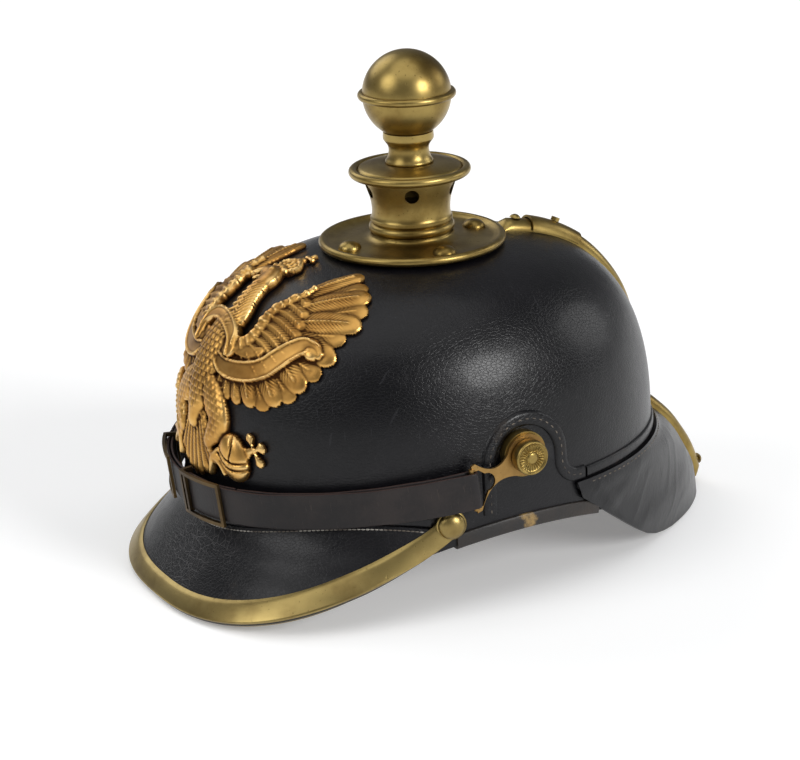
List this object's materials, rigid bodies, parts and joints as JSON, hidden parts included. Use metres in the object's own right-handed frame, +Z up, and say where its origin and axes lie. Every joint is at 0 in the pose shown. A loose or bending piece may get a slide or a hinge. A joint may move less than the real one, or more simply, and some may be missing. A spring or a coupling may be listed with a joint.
{
  "type": "spiked leather helmet with ball finial",
  "caption": "Black leather dress helmet with front and rear visors, brass ball finial on a vented neck, brass fittings, eagle front plate and buckled chinstrap",
  "frame": {"origin": "bottom centre of the bounding box, on the surface that the two visors rest on", "axes": "+Z up, the front of the helmet towards -Y, the wearer's left towards +X"},
  "size_m": [0.209, 0.2922, 0.233],
  "materials": {
    "black_leather": "glossy black lacquer with fine wear",
    "worn_leather": "black leather worn to brown at its fold",
    "strap_leather": "dull dark brown strap leather",
    "liner_leather": "soft tan leather",
    "brass": "satin brass with light tarnish",
    "gilt_brass": "gilt stamped brass, dark in its recesses",
    "copper_brass": "coppery flat brass",
    "dark_brass": "dark tarnished brass",
    "iron": "dull dark iron"
  },
  "bodies": {
    "helmet": {"base_plate": "brass", "base_plate_nuts": "iron", "base_plate_studs": "brass", "ear_welt_left": "black_leather", "ear_welt_right": "black_leather", "edge_binding_left": "worn_leather", "edge_binding_right": "worn_leather", "front_plate": "gilt_brass", "front_plate_nuts": "iron", "front_plate_screws": "brass", "front_visor": "black_leather", "front_visor_trim": "brass", "front_visor_welt": "black_leather", "liner_fingers": "liner_leather", "neck": "brass", "neck_cap": "brass", "neck_socket": "brass", "rear_spine": "brass", "rear_spine_studs": "brass", "rear_visor": "black_leather", "rear_visor_welt": "black_leather", "side_post_left": "brass", "side_post_nut_left": "iron", "side_post_nut_right": "iron", "side_post_right": "brass", "side_post_seat_left": "brass", "side_post_seat_right": "brass", "skull": "black_leather", "sweatband": "liner_leather", "visor_trim_studs": "brass", "visor_trim_washers": "iron"},
    "ball": {"ball_foot": "brass", "ball_lower": "brass", "ball_upper": "brass", "ball_ring": "brass"},
    "vent_slider": {"vent_slider": "brass", "vent_slider_knob": "brass"},
    "chinstrap": {"chinstrap_left": "strap_leather", "chinstrap_right": "strap_leather", "strap_link_left": "copper_brass", "strap_link_right": "copper_brass"},
    "buckle_near": {"buckle_near": "dark_brass"},
    "buckle_far": {"buckle_far": "dark_brass"}
  },
  "joints": [
    {"name": "chinstrap_swing", "type": "hinge", "parent": "helmet", "child": "chinstrap", "pos_m": [0, -0.00618, 0.07139], "axis": [-1, 0, 0], "range_deg": [0, 25]},
    {"name": "buckle_near_slide", "type": "hinge", "parent": "chinstrap", "child": "buckle_near", "pos_m": [0, -0.04061, 0.05896], "axis": [0, -0.1279, 0.9918], "range_deg": [-4, 4]},
    {"name": "buckle_far_slide", "type": "hinge", "parent": "chinstrap", "child": "buckle_far", "pos_m": [0, -0.04061, 0.05896], "axis": [0, -0.1279, 0.9918], "range_deg": [-4, 4]},
    {"name": "vent_slider_slide", "type": "hinge", "parent": "helmet", "child": "vent_slider", "pos_m": [0, 0.03156, 0.06908], "axis": [-1, 0, 0], "range_deg": [0, 9]},
    {"name": "ball_lift", "type": "slide", "parent": "helmet", "child": "ball", "axis": [0, -0.0124, 0.9999], "range_m": [0, 0.03]}
  ]
}
